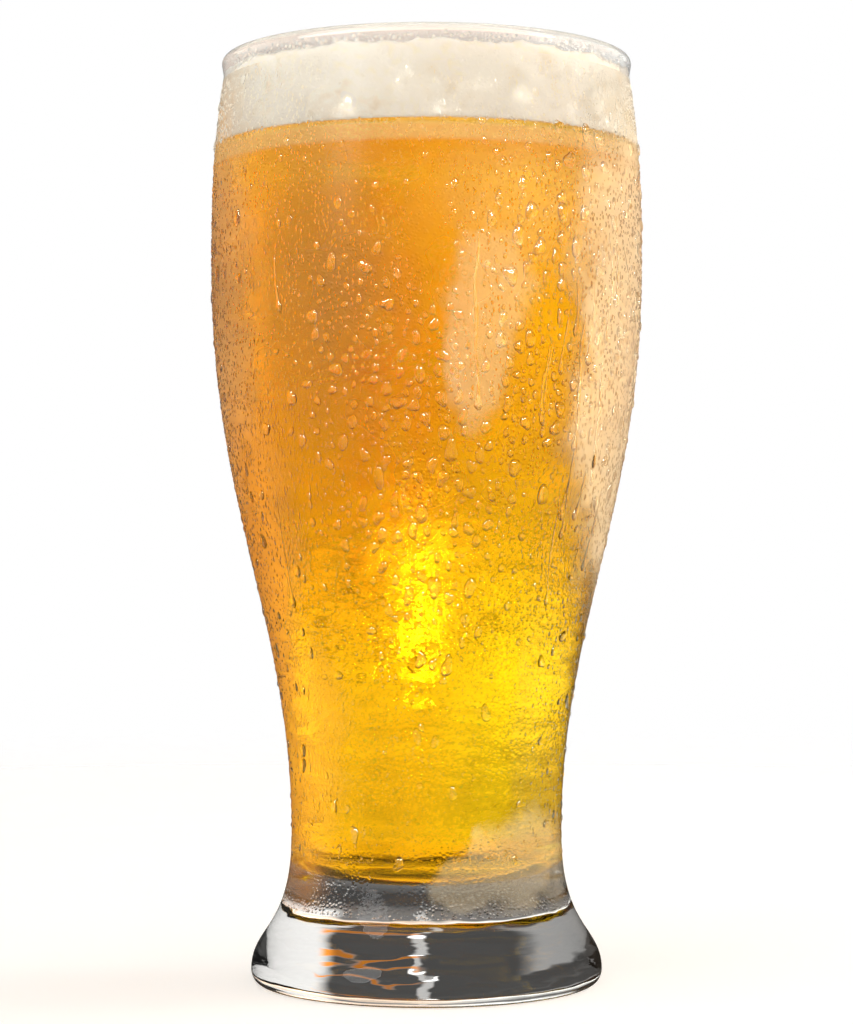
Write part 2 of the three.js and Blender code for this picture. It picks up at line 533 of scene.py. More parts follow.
def mist_veil(tree, place):
    """Amount of the finest droplets, too small to see one by one, patch by patch, and their colour, which is
    painted light, shade and glow.
    """
    water = bpy.context.scene.pint_water
    drift = noise(tree, place, 80.0, 2.0, 0.6)
    centred = add_node(tree, "ShaderNodeVectorMath", {"operation": "SUBTRACT"}, Vector=drift.outputs["Color"])
    centred.inputs[1].default_value = (0.5, 0.5, 0.5)
    strayed = add_node(
        tree, "ShaderNodeVectorMath", {"operation": "SCALE"}, Vector=centred.outputs[0], Scale=12 * MM
    )
    ragged = add_node(tree, "ShaderNodeVectorMath", {"operation": "ADD"}, Vector=place)
    tree.links.new(strayed.outputs[0], ragged.inputs[1])
    # Painted colours of the one mist: lit, in shade, glowing along the left edge and glowing low on the left
    # edge.
    lit, shaded = tuple(water.mist_painted_light), tuple(water.mist_painted_shade)
    warm, ember = tuple(water.mist_painted_edge_glow), tuple(water.mist_painted_low_glow)
    # centre and size in mm, softness of the edge, amount, share kept under drops, colour; the colours are
    # painted light, shade and glow
    patches = (
        ((18, 148), (15, 14), 0.6, 0.1, 0.5, lit),
        ((11.5, 133), (9, 10), 0.3, 0.25, 0.5, lit),
        ((9.5, 119), (6, 13), 0.3, 0.25, 0.5, lit),
        ((-41, 122), (10, 58), 0.5, 0.5, 0.3, warm),
        ((-33, 72), (9, 38), 0.5, 0.5, 0.3, ember),
        ((-24, 42), (8, 26), 0.6, 0.4, 0.3, ember),
        ((-22, 134), (17, 24), 0.9, 0.42, 0.25, shaded),
        ((40, 116), (13, 58), 0.35, 0.52, 0.75, lit),
        ((7.5, 22), (6, 4), 0.3, 0.2, 0.3, lit),
        ((9.5, 27), (2.0, 5), 0.4, 0.22, 0.3, lit),
        ((18, 25), (10, 9), 0.4, 0.22, 0.3, lit),
    )
    veil, under_drops, tint = 0.0, 0.0, shaded
    for (x, z), (width, height), edge, amount, kept, patch_colour in patches:
        size = (width * MM, height * MM)
        mask = soft_patch(tree, ragged.outputs[0], (x * MM, z * MM), size, edge)
        veil = math_node(tree, "MAXIMUM", times(tree, mask, amount), veil)
        under_drops = math_node(
            tree, "MAXIMUM", times(tree, mask, amount * kept), under_drops
        )
        tint = blend_colours(tree, mask, tint, patch_colour)
    return veil, under_drops, tint


def misted_glass():
    """The outside of the cold bowl: clear glass under a film of tiny beads, but clear under a drop."""
    material, tree = new_material("misted_glass")
    fine = bead_grain(tree, 0.75 * MM, 22 * MM)
    bump = add_node(tree, "ShaderNodeBump", Strength=0.8, Distance=0.12 * MM, Height=fine.outputs["Height"])
    place = object_place(tree)
    height = add_node(tree, "ShaderNodeSeparateXYZ", Vector=place).outputs["Z"]
    upper = remap(tree, height, 70 * MM, 100 * MM, 0.09, 0.28)
    spread = remap(tree, fine.outputs["Patch"], 0.0, 1.0, 0.75, 1.15)
    path = add_node(tree, "ShaderNodeLightPath").outputs
    in_drop = math_node(tree, "COMPARE", path["Transmission Depth"], 1.0, 0.25)
    bare = math_node(tree, "SUBTRACT", 1.0, in_drop)
    rough = times(tree, times(tree, upper, spread), bare)
    glass = glass_shader(tree, Roughness=rough, Normal=bump.outputs[0])
    veil, under_drops, tint = mist_veil(tree, place)
    outside = math_node(tree, "SUBTRACT", 1.0, path["Transmission Depth"], clamp=True)
    cover = math_node(tree, "MULTIPLY_ADD", veil, outside, times(tree, under_drops, in_drop))
    # The mist is coloured with the painted light and shade of its patches.
    mist = add_node(tree, "ShaderNodeBsdfPrincipled", Base_Color=tint, Roughness=0.6)
    surface = tree.nodes.new("ShaderNodeMixShader")
    tree.links.new(cover, surface.inputs[0])
    tree.links.new(glass.outputs[0], surface.inputs[1])
    tree.links.new(mist.outputs[0], surface.inputs[2])
    close_clear(tree, surface, GLASS_SHADOW)
    return material


def golden_beer():
    """Clear beer, paler low down where the glass is narrow, with amber streaks in the middle."""
    drink = bpy.context.scene.pint_drink
    material, tree = new_material("golden_beer")
    place = object_place(tree)
    height = add_node(tree, "ShaderNodeSeparateXYZ", Vector=place).outputs["Z"]
    swirl = noise(tree, place, 25.0, 1.0)
    stirred = math_node(tree, "MULTIPLY_ADD", swirl.outputs[0], 20 * MM, height)
    deep = remap(tree, stirred, 62 * MM, 128 * MM)
    body_colour = blend_colours(tree, deep, tuple(drink.beer_pale), tuple(drink.beer_colour))
    streaks = noise(tree, place, 140.0, 3.0, 0.6, 1.2)
    column = soft_patch(tree, place, (-6 * MM, 114 * MM), (8 * MM, 32 * MM), 0.7)
    amber = times(tree, column, remap(tree, streaks.outputs[0], 0.38, 0.6))
    body_colour = blend_colours(tree, amber, body_colour, tuple(drink.beer_amber))
    line = drink.beer_level - drink.collar_depth
    frothy = remap(tree, height, line - 0.5 * MM, line + 0.5 * MM)
    surface = add_node(
        tree,
        "ShaderNodeBsdfPrincipled",
        Base_Color=blend_colours(tree, frothy, body_colour, tuple(drink.beer_collar)),
        Roughness=0.0,
        IOR=BEER_IOR,
        Transmission_Weight=1.0,
    )
    close_plain(tree, surface)
    return material


def cream_foam():
    drink = bpy.context.scene.pint_drink
    material, tree = new_material("cream_foam")
    place = object_place(tree)
    cells = add_node(tree, "ShaderNodeTexVoronoi", {"feature": "SMOOTH_F1"}, Vector=place, Scale=1900.0)
    big_cells = add_node(tree, "ShaderNodeTexVoronoi", {"feature": "SMOOTH_F1"}, Vector=place, Scale=620.0)
    clouds = noise(tree, place, 130.0, 5.0, 0.6)
    spots = remap(tree, clouds.outputs[0], 0.52, 0.74, 0.0, 0.75)
    cell_edge = remap(tree, big_cells.outputs["Distance"], 0.35, 0.75, 0.0, 0.35)
    tone = math_node(tree, "MAXIMUM", spots, cell_edge)
    colour_out = blend_colours(tree, tone, tuple(drink.foam_colour), tuple(drink.foam_shade))
    both = plus(tree, cells.outputs["Distance"], big_cells.outputs["Distance"])
    bump = add_node(tree, "ShaderNodeBump", {"invert": True}, Strength=0.45, Distance=0.25 * MM, Height=both)
    surface = add_node(
        tree,
        "ShaderNodeBsdfPrincipled",
        Base_Color=colour_out,
        Roughness=0.65,
        Normal=bump.outputs[0],
        # The emission is a painted glow that brightens the froth.
        Emission_Color=colour_out,
        Emission_Strength=0.245,
    )
    close_plain(tree, surface)
    return material


def foam_underside():
    """The face of the foam on the beer, with a painted glow, given off as emission, for the light that soaks
    through.
    """
    drink = bpy.context.scene.pint_drink
    material, tree = new_material("foam_underside")
    place = object_place(tree)
    cells = add_node(tree, "ShaderNodeTexVoronoi", Vector=place, Scale=900.0)
    clusters = noise(tree, place, 260.0, 3.0)
    edge = remap(tree, cells.outputs["Distance"], 0.25, 0.6)
    # Darker, redder spots where the cell edges and the clusters meet, in the colour and in the painted glow
    # alike.
    wet = times(tree, edge, remap(tree, clusters.outputs[0], 0.35, 0.6))
    glow = blend_colours(tree, wet, tuple(drink.foam_painted_glow), (0.72, 0.36, 0.12, 1.0))
    bump = add_node(
        tree,
        "ShaderNodeBump",
        {"invert": True},
        Strength=0.6,
        Distance=0.4 * MM,
        Height=cells.outputs["Distance"],
    )
    surface = add_node(
        tree,
        "ShaderNodeBsdfPrincipled",
        Base_Color=glow,
        Roughness=0.5,
        Normal=bump.outputs[0],
        Emission_Color=glow,
        Emission_Strength=0.8,
    )
    close_plain(tree, surface)
    return material


def froth_bubbles():
    """Single bubbles of the froth, pale with a sheen and a faint painted glow."""
    material, tree = new_material("froth_bubbles")
    place = object_place(tree)
    grain = noise(tree, place, 900.0, 2.0)
    tint = blend_colours(tree, grain.outputs[0], (0.97, 0.95, 0.90, 1.0), (0.86, 0.82, 0.74, 1.0))
    surface = add_node(
        tree,
        "ShaderNodeBsdfPrincipled",
        Base_Color=tint,
        Roughness=0.22,
        Emission_Color=tint,
        Emission_Strength=0.1,
    )
    close_plain(tree, surface)
    return material


def collar_bubbles():
    """Fine bubbles in the beer against the wall, with a warm painted glow for the light of the beer round
    them.
    """
    material, tree = new_material("collar_bubbles")
    place = object_place(tree)
    grain = noise(tree, place, 700.0, 2.0)
    tint = blend_colours(tree, grain.outputs[0], (1.0, 0.80, 0.46, 1.0), (0.98, 0.58, 0.20, 1.0))
    surface = add_node(
        tree,
        "ShaderNodeBsdfPrincipled",
        Base_Color=tint,
        Roughness=0.3,
        Emission_Color=tint,
        Emission_Strength=0.55,
    )
    close_plain(tree, surface)
    return material


def gas_bubbles():
    """Bubbles in the beer: bright rims, with the beer showing through the middle."""
    material, tree = new_material("gas_bubbles")
    place = object_place(tree)
    grain = noise(tree, place, 600.0, 1.0)
    rim = add_node(tree, "ShaderNodeLayerWeight", Blend=0.5).outputs["Facing"]
    surface = add_node(
        tree,
        "ShaderNodeBsdfPrincipled",
        Base_Color=blend_colours(tree, grain.outputs[0], (1.0, 0.95, 0.78, 1.0), (0.95, 0.84, 0.55, 1.0)),
        Roughness=0.1,
        Alpha=remap(tree, rim, 0.15, 0.8, 0.1, 0.9),
    )
    close_plain(tree, surface)
    return material


def clear_water():
    material, tree = new_material("clear_water")
    place = object_place(tree)
    waves = noise(tree, place, 420.0, 1.0)
    ripple = add_node(tree, "ShaderNodeBump", Strength=0.08, Distance=0.2 * MM, Height=waves.outputs[0])
    surface = add_node(
        tree,
        "ShaderNodeBsdfPrincipled",
        Base_Color=(1.0, 1.0, 1.0, 1.0),
        Roughness=0.0,
        IOR=WATER_IOR,
        Transmission_Weight=1.0,
        Normal=ripple.outputs[0],
    )
    close_plain(tree, surface)
    return material


def pale_floor():
    material, tree = new_material("pale_floor")
    place = object_place(tree)
    cloud = noise(tree, place, 3.0, 2.0)
    distance = add_node(tree, "ShaderNodeVectorMath", {"operation": "LENGTH"}, Vector=place)
    shade = bpy.context.scene.pint_stage.floor_colour
    darker = tuple(0.985 * c for c in shade[:3]) + (1.0,)
    surface = add_node(
        tree,
        "ShaderNodeBsdfPrincipled",
        Base_Color=blend_colours(tree, cloud.outputs[0], tuple(shade), darker),
        Roughness=0.6,
        Alpha=remap(tree, distance.outputs["Value"], 0.1, 0.75, 1.0, 0.0),
        Emission_Color=tuple(shade),
        Emission_Strength=0.45,
    )
    close_plain(tree, surface)
    return material


# Condensation


def dome_template(sides, rings, sink=0.14):
    """A drop of unit radius and unit height, with a flat base just below the surface it sits on."""
    points = []
    angles = np.arange(sides) * FULL_TURN / sides
    for ring in range(rings):
        lift = 0.5 * math.pi * ring / rings
        radius, height = math.cos(lift), math.sin(lift)
        level = height if ring else -sink
        points += [(radius * math.cos(a), radius * math.sin(a), level) for a in angles]
    points.append((0.0, 0.0, 1.0))
    faces = [tuple(range(sides))[::-1]]
    for ring in range(rings - 1):
        low, high = ring * sides, (ring + 1) * sides
        for i in range(sides):
            j = (i + 1) % sides
            faces.append((low + i, low + j, high + j, high + i))
    top = len(points) - 1
    last = (rings - 1) * sides
    faces += [(last + i, last + (i + 1) % sides, top) for i in range(sides)]
    return np.array(points), faces


class WetSurface:
    """A wall of the glass as a place to set drops, by angle from the front and height."""

    def __init__(self, outline, facing=1.0):
        outline = np.array(outline)
        order = np.argsort(outline[:, 1])
        self.facing = facing
        self.heights = outline[order, 1]
        self.radii = outline[order, 0]
        self.slopes = np.gradient(self.radii, self.heights)
        self.cells = {}
        self.cell = 3.4 * MM

    def radius(self, z):
        return np.interp(z, self.heights, self.radii)

    def slope(self, z):
        return np.interp(z, self.heights, self.slopes)

    def clear(self, angle, z, reach, gap):
        """True if nothing taken lies within reach of this place."""
        radius = float(self.radius(z))
        column, row = int(angle * radius // self.cell), int(z // self.cell)
        for dc in (-1, 0, 1):
            for dr in (-1, 0, 1):
                for a, h, r in self.cells.get((column + dc, row + dr), ()):
                    if math.hypot((a - angle) * radius, h - z) < (r + reach) * gap:
                        return False
        return True

    def take(self, angle, z, reach):
        radius = float(self.radius(z))
        key = (int(angle * radius // self.cell), int(z // self.cell))
        self.cells.setdefault(key, []).append((angle, z, reach))

    def frame_at(self, angles, heights):
        """Places, and the directions across, up and out at them."""
        angles, heights = np.asarray(angles), np.asarray(heights)
        radius, slope = self.radius(heights), self.slope(heights)
        sine, cosine = np.sin(angles), np.cos(angles)
        zero = np.zeros_like(angles)
        place = np.stack([radius * sine, -radius * cosine, heights], axis=1)
        across = self.facing * np.stack([cosine, sine, zero], axis=1)
        out = self.facing * np.stack([sine, -cosine, -slope], axis=1)
        out /= np.linalg.norm(out, axis=1, keepdims=True)
        up = np.cross(out, across)
        return place, across, up, out


def coarse_field(angle, z):
    """Where larger drops gather, from 0 to 1: down the middle of the front and of the back."""
    side = math.sin(angle)
    middle = math.exp(-((side / 0.34) ** 2)) * math.exp(-(((z - 108 * MM) / (26 * MM)) ** 2))
    right = math.exp(-(((side - 0.6) / 0.3) ** 2)) * math.exp(-(((z - 128 * MM) / (26 * MM)) ** 2))
    return min(1.0, 0.012 + middle + 0.4 * right)


def dash_field(angle, z):
    """Where fine upright dashes of water gather: towards both sides of the bowl."""
    side = abs(math.sin(angle))
    return (0.3 + 0.7 * min(1.0, side / 0.6)) * min(1.0, max(0.12, (z - 60 * MM) / (40 * MM)))


def grain_field(angle, z):
    """Where the finest grain of water lies: round the lower half."""
    return 0.1 + 0.9 * math.exp(-(((z - 64 * MM) / (26 * MM)) ** 2))


def room_outside(surface, angle, z):
    """How far a drop can stand out at this place and stay inside the CAD box."""
    lean = max(abs(math.sin(angle)), abs(math.cos(angle)))
    return (GLASS_HIGH[0] - BOX_MARGIN) / lean - float(surface.radius(z))


DROP_TRIES = 12
DROP_GAP = 1.12
BOX_MARGIN = 0.01 * MM


def scatter_drops(surface, rng, count, smallest, largest, field, low, high):
    """Draws places for drops, none touching another, thicker where the field is high."""
    found = []
    for _ in range(count * DROP_TRIES):
        if len(found) >= count:
            break
        angle = rng.uniform(-math.pi, math.pi)
        z = rng.uniform(low, high)
        if rng.random() > field(angle, z):
            continue
        radius = smallest + (largest - smallest) * rng.random() ** 2.0
        if surface.facing > 0:
            radius = min(radius, 2.0 * room_outside(surface, angle, z))
        if radius < 0.5 * smallest or not surface.clear(angle, z, radius, DROP_GAP):
            continue
        surface.take(angle, z, radius)
        found.append((angle, z, radius))
    return np.array(found)


def lace_field(angle, z):
    """Where bubbles cling to the wall over the foam: in ragged clusters, fewer higher up."""
    cluster = math.sin(3 * angle + 0.4) + math.sin(7 * angle + 2.0) + math.sin(13 * angle + 4.1)
    drop_off = max(0.0, (178.6 * MM - z) / (3.0 * MM))
    return 0.05 + min(1.0, max(0.0, 0.25 + 0.4 * cluster)) * drop_off


def collar_field(angle, z):
    """Where fine bubbles gather under the foam: thick at the top, thinning within a few millimetres."""
    patch = 0.75 + 0.25 * math.sin(9 * angle) * math.sin(23 * angle + 1.0)
    return 0.05 + patch * max(0.0, (z - 157.4 * MM) / (5.0 * MM)) ** 0.7


def drop_mesh(frames, radii, rng, sides, rings, height, wobble, sag, stretch):
    """Points and faces of all drops of one kind, as one array each."""
    template, faces = dome_template(sides, rings)
    place, across, up, out = frames
    turn = np.arctan2(template[:, 1], template[:, 0])
    rise = np.clip(template[:, 2], 0.0, 1.0)
    count = len(radii)
    shift = rng.uniform(0, FULL_TURN, (count, 2))
    amount = rng.uniform(0.2, 1.0, (count, 2)) * wobble
    lobes = (
        1
        + amount[:, :1] * np.cos(2 * turn[None, :] + shift[:, :1])
        + 0.7 * amount[:, 1:] * np.cos(3 * turn[None, :] + shift[:, 1:])
    )
    longer = 1 + rng.uniform(0.0, stretch, (count, 1))
    bend = rng.uniform(-0.35, 0.35, (count, 1)) * (longer - 1)
    y_unit = template[None, :, 1] * longer
    x = radii[:, None] * (lobes * template[None, :, 0] / np.sqrt(longer) + bend * y_unit**2)
    y = radii[:, None] * (lobes * y_unit - sag * rise[None, :])
    tall = height * rng.uniform(0.8, 1.0, (count, 1))
    z = radii[:, None] * np.where(template[None, :, 2] > 0, tall * template[None, :, 2], template[None, :, 2])
    points = (
        place[:, None, :]
        + x[..., None] * across[:, None, :]
        + y[..., None] * up[:, None, :]
        + z[..., None] * out[:, None, :]
    )
    size = len(template)
    all_faces = [tuple(k + i * size for k in face) for i in range(count) for face in faces]
    flat_faces = np.arange(count) * len(faces)
    return points.reshape(-1, 3), all_faces, flat_faces


def run_path(surface, rng, angle, top, drop):
    """A wandering way down the glass: rows of angle, height and half width."""
    steps = max(8, int(drop / (0.5 * MM)))
    share = np.linspace(0.0, 1.0, steps)
    heights = top - drop * share
    stray = np.cumsum(rng.normal(0.0, 1.0, steps))
    stray = np.convolve(np.pad(stray, 6, mode="edge"), np.ones(13) / 13, mode="valid")
    stray *= rng.uniform(0.6, 1.7) * MM / max(1.0, np.abs(stray).max())
    width = rng.uniform(0.2, 0.36) * MM * (1 + 0.25 * np.sin(share * rng.uniform(8, 20) + rng.uniform(0, 6)))
    width *= np.clip(share / 0.12, 0.3, 1.0)
    head = np.exp(-(((heights - heights[-1] - 1.0 * MM) / (1.0 * MM)) ** 2))
    width += head * rng.uniform(0.35, 0.75) * MM
    width[-1] *= 0.5
    angles = angle + stray / surface.radius(heights)
    room = np.array([room_outside(surface, a, z) for a, z in zip(angles, heights)])
    width = np.clip(width, 0.02 * MM, np.maximum(1.9 * room, 0.02 * MM))
    return np.stack([angles, heights, width], axis=1)


def run_mesh(surface, paths):
    """Points and faces of all runs: low half-round ridges, closed underneath."""
    turns = np.linspace(0.0, math.pi, 7)
    points, faces, flat = [], [], []
    for path in paths:
        angles, heights, width = path.T
        place, across, up, out = surface.frame_at(angles, heights)
        first = len(points)
        size = len(turns)
        for i, half in enumerate(width):
            for turn in turns:
                lift = 0.5 * half * math.sin(turn) if 0.1 < turn < 3.0 else -0.08 * MM
                points.append(place[i] + half * math.cos(turn) * across[i] + lift * out[i])
        for i in range(len(width) - 1):
            here, below = first + i * size, first + (i + 1) * size
            for k in range(size - 1):
                faces.append((here + k, here + k + 1, below + k + 1, below + k))
            flat.append(len(faces))
            faces.append((here + size - 1, here, below, below + size - 1))
        last = first + (len(width) - 1) * size
        flat += [len(faces), len(faces) + 1]
        faces.append(tuple(first + k for k in reversed(range(size))))
        faces.append(tuple(last + k for k in range(size)))
    return np.array(points), faces, np.array(flat)


def ball_mesh(places, radii, sides=8, rings=5):
    """Points and faces of many small balls."""
    lifts = np.linspace(-math.pi / 2, math.pi / 2, rings + 1)[1:-1]
    angles = np.arange(sides) * FULL_TURN / sides
    template = [(0.0, 0.0, -1.0)]
    for lift in lifts:
        out, up = math.cos(lift), math.sin(lift)
        template += [(out * math.cos(a), out * math.sin(a), up) for a in angles]
    template.append((0.0, 0.0, 1.0))
    top = len(template) - 1
    shape = []
    for i in range(sides):
        j = (i + 1) % sides
        shape.append((0, 1 + j, 1 + i))
        for ring in range(rings - 2):
            low, high = 1 + ring * sides, 1 + (ring + 1) * sides
            shape.append((low + i, low + j, high + j, high + i))
        shape.append((top - sides + i, top - sides + j, top))
    points = places[:, None, :] + radii[:, None, None] * np.array(template)[None, :, :]
    faces = [tuple(k + n * len(template) for k in face) for n in range(len(places)) for face in shape]
    return points.reshape(-1, 3), faces


# Pieces


class PINT_OT_glass(bpy.types.Operator):
    """Turns the footed glass from its outline."""

    bl_idname = "pint.glass"
    bl_label = "Glass"

    def execute(self, context):
        outline = chain(base_outline(), wall_outline(), lip_outline(), bowl_outline())
        piece = turn_piece("glass_body", outline)
        dress(piece, "clear_glass", clear_glass(), misted_glass(), lip_glass())
        settings = context.scene.pint_glass
        low, high = settings.waist_height * 0.55, settings.height - 4 * settings.bead
        wall = wall_outline()
        for face in piece.data.polygons:
            centre = face.center
            out = math.hypot(centre.x, centre.y)
            if centre.z > high:
                face.material_index = 2
            elif low < centre.z and out > radius_at(wall, centre.z) - 0.4 * MM:
                face.material_index = 1
        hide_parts("glass")
        return {"FINISHED"}


class PINT_OT_beer(bpy.types.Operator):
    """Fills the bowl with beer up to its level, a little into the wall."""

    bl_idname = "pint.beer"
    bl_label = "Beer"

    def execute(self, context):
        drink = context.scene.pint_drink
        bowl = bowl_outline(-drink.into_wall)
        level = drink.beer_level + drink.into_wall
        below = [p for p in bowl if p[1] < level]
        outline = [(0.0, level), (radius_at(bowl, level), level), *below]
        piece = turn_piece("beer_fill", outline)
        dress(piece, "beer", golden_beer())
        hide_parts("beer")
        return {"FINISHED"}


class PINT_OT_foam(bpy.types.Operator):
    """Lays the head of foam on the beer."""

    bl_idname = "pint.foam"
    bl_label = "Foam"

    def execute(self, context):
        drink = context.scene.pint_drink
        wall = bowl_outline(-1.4 * drink.into_wall)
        low, high, edge = drink.beer_level, drink.foam_top, drink.foam_top + drink.foam_climb
        under = [(radius_at(wall, low) * s, low) for s in np.linspace(0.0, 1.0, 50)]
        side = [(radius_at(wall, z), z) for z in np.linspace(low, edge, 28)]
        shore = radius_at(wall, edge) - 4 * MM
        slope = [(shore + 4 * MM * s, high + drink.foam_climb * s**3) for s in np.linspace(1.0, 0.0, 12)]
        over = [(shore * s, high) for s in np.linspace(1.0, 0.0, 72)]
        piece = turn_piece("foam_head", chain(under, side, slope, over), 240)
        for name, start in (("top", high - 0.01 * MM), ("edge", high + 0.4 * drink.foam_climb)):
            lifted = [v.index for v in piece.data.vertices if v.co.z > start]
            piece.vertex_groups.new(name=name).add(lifted, 1.0, "REPLACE")
        for name, group, size, strength in (
            ("foam lumps", "top", 9 * MM, 1.1 * MM),
            ("foam cells", "top", 1.3 * MM, 0.5 * MM),
            ("foam edge", "edge", 3.5 * MM, 1.6 * MM),
        ):
            texture = bpy.data.textures.new(name, "CLOUDS")
            texture.noise_scale = size
            lumps = piece.modifiers.new(name, "DISPLACE")
            lumps.texture = texture
            lumps.texture_coords = "LOCAL"
            lumps.direction = "Z"
            lumps.strength = strength
            lumps.vertex_group = group
            bpy.ops.object.modifier_apply(modifier=name)
        dress(piece, "foam", cream_foam(), foam_underside())
        for face in piece.data.polygons:
            face.material_index = int(face.normal.z < -0.9)
        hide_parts("foam")
        return {"FINISHED"}


class PINT_OT_froth(bpy.types.Operator):
    """Sets single bubbles on top of the foam and along the wall over it."""

    bl_idname = "pint.froth"
    bl_label = "Froth"

    def execute(self, context):
        drink = context.scene.pint_drink
        rng = np.random.default_rng(SEED + 1)
        wall = bowl_outline()
        material = froth_bubbles()
        inside = WetSurface([p for p in wall if p[1] > drink.foam_top - 6 * MM], facing=-1.0)
        edge = drink.foam_top + drink.foam_climb
        low, high = edge - 1.2 * MM, edge + 1.7 * MM
        lace = scatter_drops(inside, rng, drink.lace_count, 0.12 * MM, 0.5 * MM, lace_field, low, high)
        frames = inside.frame_at(lace[:, 0], lace[:, 1])
        points, faces, flat = drop_mesh(frames, lace[:, 2], rng, 8, 3, 0.8, 0.05, 0.0, 0.1)
        dress(scatter_piece("foam_lace", points, faces, flat), "foam", material)
        foam = bpy.data.objects["foam_head"]
        reach = radius_at(wall, drink.foam_top) - 0.6 * MM
        places, radii = [], []
        for _ in range(drink.crown_count):
            out = reach * math.sqrt(rng.random())
            angle = rng.uniform(0.0, FULL_TURN)
            above = (out * math.cos(angle), out * math.sin(angle), drink.foam_top + 20 * MM)
            hit, spot, _, _ = foam.ray_cast(above, (0.0, 0.0, -1.0))
            if hit:
                places.append(tuple(spot))
                radii.append((0.15 + 0.75 * rng.random() ** 3) * MM)
        count = len(places)
        axes = [np.tile(axis, (count, 1)) for axis in ((1.0, 0.0, 0.0), (0.0, 1.0, 0.0), (0.0, 0.0, 1.0))]
        frames = (np.array(places), *axes)
        points, faces, flat = drop_mesh(frames, np.array(radii), rng, 9, 3, 0.75, 0.05, 0.0, 0.1)
        dress(scatter_piece("foam_crown", points, faces, flat), "foam", material)
        return {"FINISHED"}


class PINT_OT_bubbles(bpy.types.Operator):
    """Lets bubbles rise through the beer."""

    bl_idname = "pint.bubbles"
    bl_label = "Bubbles"

    def execute(self, context):
        drink = context.scene.pint_drink
        rng = np.random.default_rng(SEED + 2)
        wall = bowl_outline()
        low, high = BEER_LOW[2] + 2 * MM, drink.beer_level - 1.5 * MM
        places, radii = [], []
        strings = rng.uniform(-1.0, 1.0, (14, 2)) * 9 * MM
        for i in range(drink.rising_count):
            z = rng.uniform(low, high)
            size = (0.14 + 0.2 * rng.random() + 0.18 * (z - low) / (high - low)) * MM
            room = radius_at(wall, z) - 1.2 * MM
            if i % 3:
                x, y = strings[i % len(strings)] + rng.normal(0.0, 0.8, 2) * MM
            else:
                out, angle = room * math.sqrt(rng.random()), rng.uniform(0.0, FULL_TURN)
                x, y = out * math.cos(angle), out * math.sin(angle)
            if math.hypot(x, y) < room:
                places.append((x, y, z))
                radii.append(size)
        points, faces = ball_mesh(np.array(places), np.array(radii))
        dress(scatter_piece("rising_bubbles", points, faces), "beer", gas_bubbles())
        inside = WetSurface([p for p in wall if p[1] > drink.beer_level - 12 * MM], facing=-1.0)
        low, high = drink.beer_level - 5 * MM, drink.beer_level - 0.2 * MM
        collar = scatter_drops(inside, rng, drink.collar_count, 0.1 * MM, 0.36 * MM, collar_field, low, high)
        frames = inside.frame_at(collar[:, 0], collar[:, 1])
        points, faces, flat = drop_mesh(frames, collar[:, 2], rng, 7, 2, 0.8, 0.08, 0.0, 0.1)
        dress(scatter_piece("collar_bubbles", points, faces, flat), "beer", collar_bubbles())
        return {"FINISHED"}


class PINT_OT_drops(bpy.types.Operator):
    """Scatters the drops of condensation over the outside."""

    bl_idname = "pint.drops"
    bl_label = "Drops"

    def execute(self, context):
        water = context.scene.pint_water
        glass = context.scene.pint_glass
        rng = np.random.default_rng(SEED)
        surface = WetSurface(wall_outline())
        low, high = glass.waist_height - 4 * MM, glass.height - 6 * MM
        material = clear_water()
        paths = self.draw_runs(surface, rng, water.run_count)
        dress(scatter_piece("water_runs", *run_mesh(surface, paths)), "clear_glass", material)
        half, third = water.middle_count // 2, water.fine_count // 3
        # name, number, radii in mm, field, then sides, rings, height, wobble, sag and stretch
        kinds = (
            ("large_drops", water.large_count, 0.95, 1.5, coarse_field, 16, 4, 0.46, 0.26, 0.2, 0.55),
            ("middle_drops_a", half, 0.45, 1.0, coarse_field, 10, 3, 0.5, 0.2, 0.1, 0.5),
            ("middle_drops_b", half, 0.38, 0.8, coarse_field, 10, 3, 0.5, 0.2, 0.1, 0.5),
            ("fine_drops_a", third, 0.2, 0.42, dash_field, 6, 2, 0.45, 0.06, 0.0, 1.3),
            ("fine_drops_b", third, 0.18, 0.38, dash_field, 6, 2, 0.45, 0.06, 0.0, 1.3),
            ("fine_drops_c", third, 0.13, 0.24, grain_field, 6, 2, 0.45, 0.06, 0.0, 0.3),
        )
        for name, number, smallest, largest, field, *shape in kinds:
            sizes = (smallest * MM, largest * MM)
            drops = scatter_drops(surface, rng, number, *sizes, field, low, high)
            frames = surface.frame_at(drops[:, 0], drops[:, 1])
            points, faces, flat = drop_mesh(frames, drops[:, 2], rng, *shape)
            dress(scatter_piece(name, points, faces, flat), "clear_glass", material)
        return {"FINISHED"}

    def draw_runs(self, surface, rng, count):
        """Runs of water, most of them to the right of the front."""
        paths = []
        for i in range(count):
            if i % 5 < 3:
                angle = rng.uniform(0.5, 1.15)
            else:
                angle = rng.uniform(-math.pi, math.pi)
            path = run_path(surface, rng, angle, rng.uniform(95, 165) * MM, rng.uniform(8, 34) * MM)
            paths.append(path)
            for spot in path:
                surface.take(*spot)
        return paths


